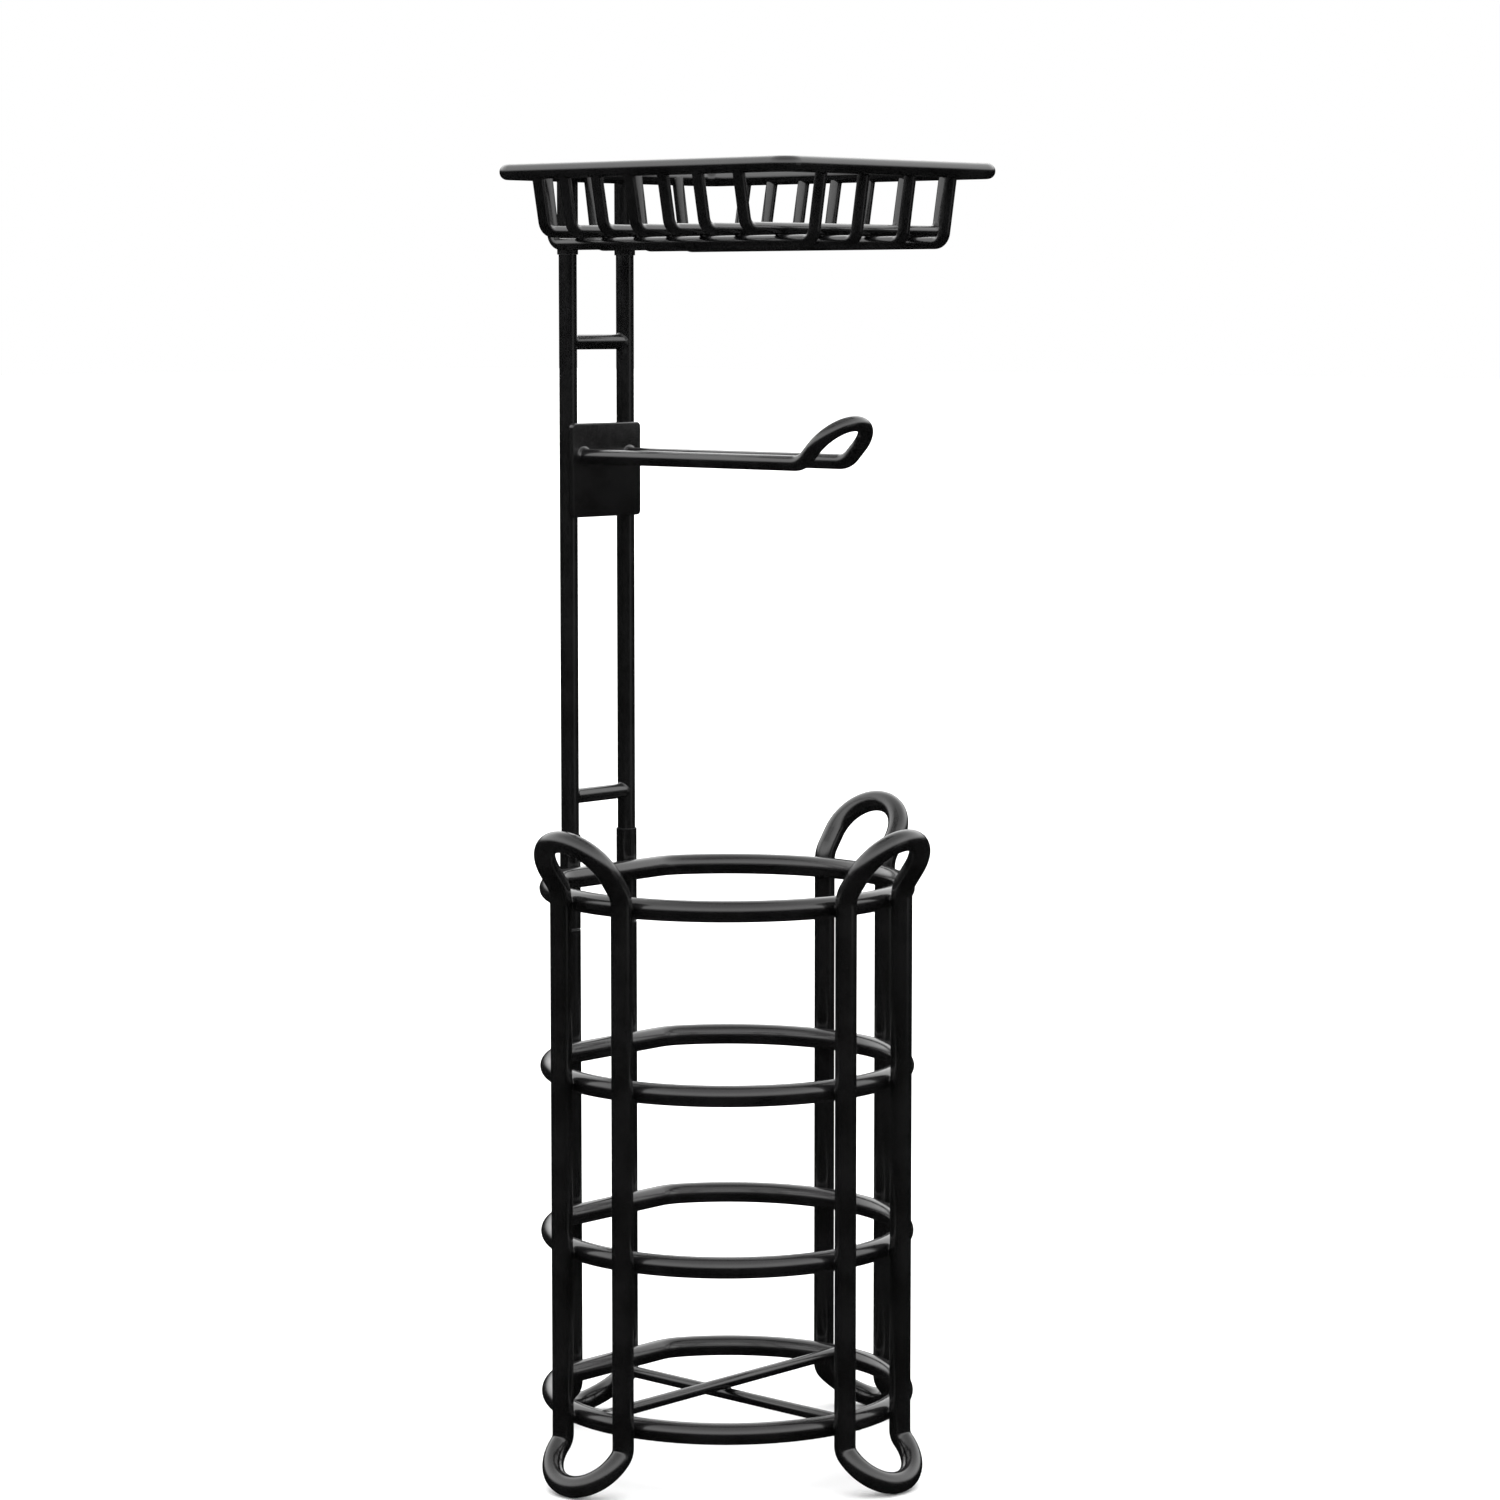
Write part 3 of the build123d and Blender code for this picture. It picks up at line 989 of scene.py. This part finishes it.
@dataclass
class Shelf:
    """The wire shelf that drops over the mast: rim, wires, sleeves and caps."""

    rod: float = 4.0 * MM
    wire: float = 3.1 * MM
    sleeve: float = 5.55 * MM
    end_inset: float = 3.0 * MM
    end_lean: float = 5.7 * MM
    side_lean: float = 7.1 * MM
    fillet: float = 0.9 * MM
    end_reach: float = 5.0 * MM
    crossing_margin: float = 0.3 * MM
    crossing_stretch: float = 20 * MM
    sleeve_fillet: float = 2.0 * MM
    sleeve_reach: float = 5.0 * MM
    cap_clearance: float = 0.2 * MM
    body: str = "shelf"
    long_wires: tuple[str, ...] = tuple(f"long_wire_{n}" for n in range(1, 5))
    cross_wires: tuple[str, ...] = tuple(f"cross_wire_{n}" for n in range(1, 8))
    enamel: Enamel = Enamel("shelf_stove_enamel", 5.7)
    plastic: MouldedPlastic = MouldedPlastic("cap_moulded_plastic")
    sleeve_cap: SleeveCap = SleeveCap()

    def build(self) -> None:
        """Dress the shelf, weld it and build its caps."""
        finish = self.enamel.material()
        sleeves = [f"sleeve_{side.value}" for side in Side]
        for node in ("shelf_rim", *self.long_wires, *self.cross_wires, *sleeves):
            dress(node, finish)
        for name, beads in (
            ("long_wire_end_welds", self.long_end_beads()),
            ("cross_wire_end_welds", self.cross_end_beads()),
            ("wire_crossing_welds", self.crossing_beads()),
            ("sleeve_welds", self.sleeve_beads()),
        ):
            settle(beads_object(name, beads), self.body, finish)
        plastic = self.plastic.material()
        for side in Side:
            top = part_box(f"sleeve_{side.value}")[1].z
            cap = settle(self.sleeve_cap.turn(side, top), self.body, plastic)
            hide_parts(f"sleeve_cap_{side.value}")

    def rim_bars(self) -> dict[str, Bar]:
        """The four straight sides of the rim."""
        low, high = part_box("shelf_rim")
        height = middle("shelf_rim").z
        left, right = low.x + self.rod, high.x - self.rod
        front, back = low.y + self.rod, high.y - self.rod
        corners = {
            "front": ((left, front), (right, front)),
            "back": ((left, back), (right, back)),
            "left": ((left, front), (left, back)),
            "right": ((right, front), (right, back)),
        }
        return {
            name: Bar(Vector((*start, height)), Vector((*end, height)), self.rod)
            for name, (start, end) in corners.items()
        }

    def floor_height(self, wire: str) -> float:
        """Height of a wire's level stretch."""
        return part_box(wire)[0].z + self.wire

    def long_leg(self, wire: str, end: str) -> Bar:
        """One upright of a long wire, at the front or the back."""
        rim = self.rim_bars()[end]
        inward = 1 if end == "front" else -1
        across, top = middle(wire).x, rim.start.y + inward * self.end_inset
        bottom = Vector((across, top + inward * self.end_lean, self.floor_height(wire)))
        return Bar(Vector((across, top, rim.start.z)), bottom, self.wire)

    def cross_leg(self, wire: str, end: str) -> Bar:
        """One upright of a cross wire, at the left or the right."""
        rim = self.rim_bars()[end]
        inward = 1 if end == "left" else -1
        along, low = middle(wire).y, self.floor_height(wire)
        depth = rim.start.z - self.floor_height(self.long_wires[0])
        lean = self.side_lean * (rim.start.z - low) / depth
        start = Vector((rim.start.x, along, rim.start.z))
        return Bar(start, Vector((rim.start.x + inward * lean, along, low)), self.wire)

    def end_bead(self, leg: Bar, end: str) -> WeldBead:
        """The bead where a wire's end runs into one side of the rim."""
        joint = leg.start + (leg.end - leg.start).normalized() * self.rod
        return WeldBead((self.rim_bars()[end], leg), joint, self.end_reach, self.fillet)

    def long_end_beads(self) -> list[WeldBead]:
        """Beads at the rim ends of the long wires."""
        ends = product(self.long_wires, ("front", "back"))
        return [self.end_bead(self.long_leg(wire, end), end) for wire, end in ends]

    def cross_end_beads(self) -> list[WeldBead]:
        """Beads at the rim ends of the cross wires."""
        ends = product(self.cross_wires, ("left", "right"))
        return [self.end_bead(self.cross_leg(wire, end), end) for wire, end in ends]

    def crossing_beads(self) -> list[WeldBead]:
        """Beads where cross wires lie on long wires."""
        low, high = (self.floor_height(wires[0]) for wires in (self.long_wires, self.cross_wires))
        reach = overlap_reach(self.wire, self.fillet, self.crossing_margin)
        half = self.crossing_stretch
        beads = []
        for long_wire, cross_wire in product(self.long_wires, self.cross_wires):
            x, y = middle(long_wire).x, middle(cross_wire).y
            under = Bar(Vector((x, y - half, low)), Vector((x, y + half, low)), self.wire)
            over = Bar(Vector((x - half, y, high)), Vector((x + half, y, high)), self.wire)
            beads.append(WeldBead((under, over), Vector((x, y, (low + high) / 2)), reach, self.fillet))
        return beads

    def sleeve_beads(self) -> list[WeldBead]:
        """Beads between the rim's back and the two sleeves, below the caps."""
        rim = self.rim_bars()["back"]
        beads = []
        for side in Side:
            tube = upright(f"sleeve_{side.value}", self.sleeve)
            touch = Vector((tube.start.x, rim.start.y + self.rod, rim.start.z))
            ceiling = tube.end.z - self.cap_clearance
            bead = WeldBead((rim, tube), touch, self.sleeve_reach, self.sleeve_fillet, ceiling)
            beads.append(bead)
        return beads


# ---- Studio ------------------------------------------------------------------------------------


@dataclass(frozen=True)
class SoftBox:
    """A soft light: where it hangs, what it looks at, its size and its power."""

    name: str
    place: Point
    aim: Point
    width: float
    height: float
    power: float

    def hang(self) -> None:
        """Hang the light."""
        light = bpy.data.lights.new(self.name, "AREA")
        light.shape = "RECTANGLE"
        light.size, light.size_y = self.width, self.height
        light.energy = self.power
        holder = bpy.data.objects.new(self.name, light)
        holder.location = self.place
        towards = Vector(self.aim) - Vector(self.place)
        holder.rotation_euler = towards.to_track_quat("-Z", "Y").to_euler()
        bpy.context.scene.collection.objects.link(holder)


@dataclass(frozen=True)
class Tent:
    """The white tent round the piece: how bright it is, and where it fades at its foot and crown.

    The foot and the crown are heights on a ball of radius 1 round the piece.
    """

    brightness: float = 1.95
    foot: tuple[float, float] = (0.06, 0.34)
    crown: tuple[float, float] = (0.50, 0.97)
    crown_share: float = 0.52
    dark: float = 0.010

    def hang(self) -> None:
        """Hang the tent, with a white backdrop that only the camera sees."""
        world = bpy.data.worlds.new("studio_air")
        world.use_nodes = True
        nodes = Nodes(world.node_tree)
        way = nodes.add("SeparateXYZ", {0: nodes.add("TexCoord").outputs["Generated"]}).outputs["Z"]
        rise = nodes.span(way, self.foot, (self.dark, self.brightness))
        crown = nodes.span(way, self.crown, (1.0, self.crown_share))
        strength = nodes.math("MULTIPLY", rise, crown, clamp=False)
        white = (1.0, 1.0, 1.0, 1.0)
        tent = nodes.add("Background", {"Color": white, "Strength": strength})
        backdrop = nodes.add("Background", {"Color": white})
        seen = nodes.add("LightPath").outputs["Is Camera Ray"]
        choice = nodes.add("MixShader", {0: seen, 1: tent.outputs[0], 2: backdrop.outputs[0]})
        nodes.add("OutputWorld", {0: choice.outputs[0]})
        bpy.context.scene.world = world


@dataclass
class Studio:
    """A pale floor under a bright tent, a tall soft box, a floor lamp and the camera."""

    floor_size: float = 60.0
    lamp_power: float = 2.2
    lamp_spread: float = 70.0
    lamp_height: float = 3.0
    lens: float = 101.39
    sensor: float = 36.0
    clip: tuple[float, float] = (0.05, 200.0)
    camera_heading: float = 42.455
    camera_distance: float = 2.2047
    camera_aside: float = 0.0120
    camera_height: float = 0.6053
    camera_tilt: float = 5.942
    tent: Tent = Tent()
    soft_box: SoftBox = SoftBox(
        "right_soft_box", (1.1, -2.7, 0.9), (0.0, 0.0, 0.35), width=1.3, height=2.2, power=2.6
    )

    def build(self) -> None:
        """Set up the studio."""
        self.floor()
        self.tent.hang()
        self.lamp()
        self.soft_box.hang()
        self.camera()
        bpy.context.scene.view_settings.view_transform = "Standard"

    def floor(self) -> None:
        """Lay the floor."""
        half = self.floor_size / 2
        corners = [(-half, -half, 0), (half, -half, 0), (half, half, 0), (-half, half, 0)]
        mesh = bpy.data.meshes.new("studio_floor")
        mesh.from_pydata(corners, [], [(0, 1, 2, 3)])
        floor = smooth_object("studio_floor", mesh)
        mesh.materials.append(StudioPaper().material())
        floor.visible_glossy = False

    def lamp(self) -> None:
        """Light the floor evenly from overhead, without showing in the gloss."""
        light = bpy.data.lights.new("floor_lamp", "SUN")
        light.energy = self.lamp_power
        light.angle = math.radians(self.lamp_spread)
        holder = bpy.data.objects.new("floor_lamp", light)
        holder.location = (0, 0, self.lamp_height)
        holder.visible_glossy = False
        bpy.context.scene.collection.objects.link(holder)

    def camera(self) -> None:
        """Set the camera in front of the left side, a little above the middle."""
        heading = math.radians(self.camera_heading)
        ahead = Vector((math.cos(heading), math.sin(heading), 0))
        aside = Vector((math.sin(heading), -math.cos(heading), 0))
        data = bpy.data.cameras.new("camera")
        data.lens, data.sensor_width = self.lens, self.sensor
        data.clip_start, data.clip_end = self.clip
        holder = bpy.data.objects.new("camera", data)
        place = aside * self.camera_aside - ahead * self.camera_distance
        holder.location = place + Vector((0, 0, self.camera_height))
        holder.rotation_euler = (math.radians(90 - self.camera_tilt), 0, heading - math.radians(90))
        bpy.context.scene.collection.objects.link(holder)
        bpy.context.scene.camera = holder


def main() -> None:
    """Build the holder and its studio."""
    logging.basicConfig(level=logging.INFO, format="%(message)s")
    for sub_assembly in (Cage(), Mast(), Shelf()):
        sub_assembly.build()
    Studio().build()


if __name__ == "__main__":
    main()
